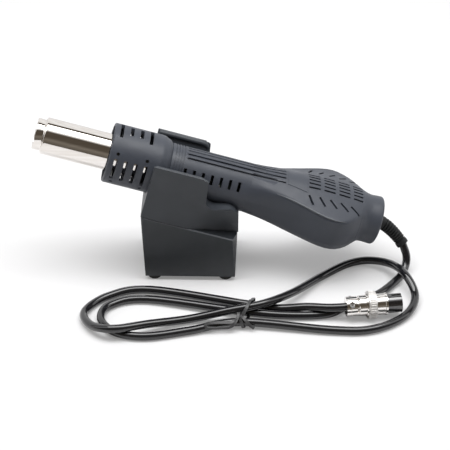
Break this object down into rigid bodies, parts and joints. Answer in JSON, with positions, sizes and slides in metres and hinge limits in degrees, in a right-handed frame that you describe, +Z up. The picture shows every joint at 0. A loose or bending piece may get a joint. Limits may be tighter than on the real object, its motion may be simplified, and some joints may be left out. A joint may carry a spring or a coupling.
{
  "type": "hot air rework handpiece in its cradle stand",
  "caption": "Hot air handpiece with a slotted heat guard and a blower in its broad tail, lying in a free-standing cradle, with a bundled cord and a round screw-ring plug.",
  "frame": {"origin": "on the floor, under the middle of the box around handpiece and stand (the cord and what is on it not counted)", "axes": "+X towards the handpiece's tail, +Y away from the viewer of the picture, +Z up; the handpiece's axis lies in the plane y = 0"},
  "size_m": [0.2701, 0.1279, 0.1166],
  "materials": {
    "chrome_tube": "polished",
    "mica": "matte",
    "ceramic": "matte",
    "coil_wire": "satin",
    "steel": "satin",
    "lead_sleeve": "matte",
    "handle_plastic": "satin",
    "stand_plastic": "satin",
    "dark_screw": "satin",
    "board_green": "gloss",
    "white_plastic": "gloss",
    "glass_green": "gloss",
    "red_wire": "satin",
    "black_plastic": "satin",
    "bronze": "satin",
    "copper": "satin",
    "impeller_grey": "satin",
    "magnet_grey": "matte",
    "rubber": "matte",
    "cord_black": "gloss",
    "tie_plastic": "gloss",
    "chrome_plug": "polished",
    "insert_black": "gloss",
    "gold": "polished",
    "ballast_steel": "satin"
  },
  "bodies": {
    "stand": {"cradle": "stand_plastic", "base_box": "stand_plastic", "base_plate": "stand_plastic", "ballast_plate": "ballast_steel", "rubber_feet": "rubber", "base_screws": "steel", "cradle_screws": "steel", "sleep_magnet": "magnet_grey", "cord": "cord_black", "cord_tie": "tie_plastic", "plug_shell": "chrome_plug", "plug_clamp": "chrome_plug", "plug_clamp_screws": "steel", "plug_insert": "insert_black", "plug_contacts": "gold"},
    "handpiece": {"nozzle_tube": "chrome_tube", "mica_sleeve": "mica", "heater_core": "ceramic", "heater_coil": "coil_wire", "thermocouple": "steel", "heater_flange": "steel", "heater_leads": "lead_sleeve", "heat_guard": "handle_plastic", "guard_screws": "dark_screw", "upper_shell": "handle_plastic", "lower_shell": "handle_plastic", "shell_screws": "steel", "terminal_board": "board_green", "board_screws": "steel", "board_connector": "white_plastic", "reed_switch": "glass_green", "fan_leads": "red_wire", "inner_wires": "black_plastic", "blower_case": "black_plastic", "blower_cover": "black_plastic", "blower_screws": "steel", "motor_stator": "copper", "motor_bearing": "bronze", "end_collar": "handle_plastic", "cord_clamp": "black_plastic", "clamp_screws": "steel", "strain_relief": "rubber", "cord_tail": "cord_black"},
    "impeller": {"impeller": "impeller_grey", "rotor_magnet": "magnet_grey", "motor_shaft": "steel"},
    "coupling_ring": {"coupling_ring": "chrome_plug"}
  },
  "joints": [
    {"name": "handpiece_lift", "type": "slide", "parent": "stand", "child": "handpiece", "axis": [0, 0, 1], "range_m": [0, 0.05]},
    {"name": "impeller_spin", "type": "hinge", "parent": "handpiece", "child": "impeller", "pos_m": [0.08036, 0, 0.0473], "axis": [0.2807, 0, 0.9598], "continuous": true},
    {"name": "ring_spin", "type": "hinge", "parent": "stand", "child": "coupling_ring", "pos_m": [0.11266, -0.06338, 0.0095], "axis": [0.9895, 0.1444, 0], "continuous": true}
  ]
}
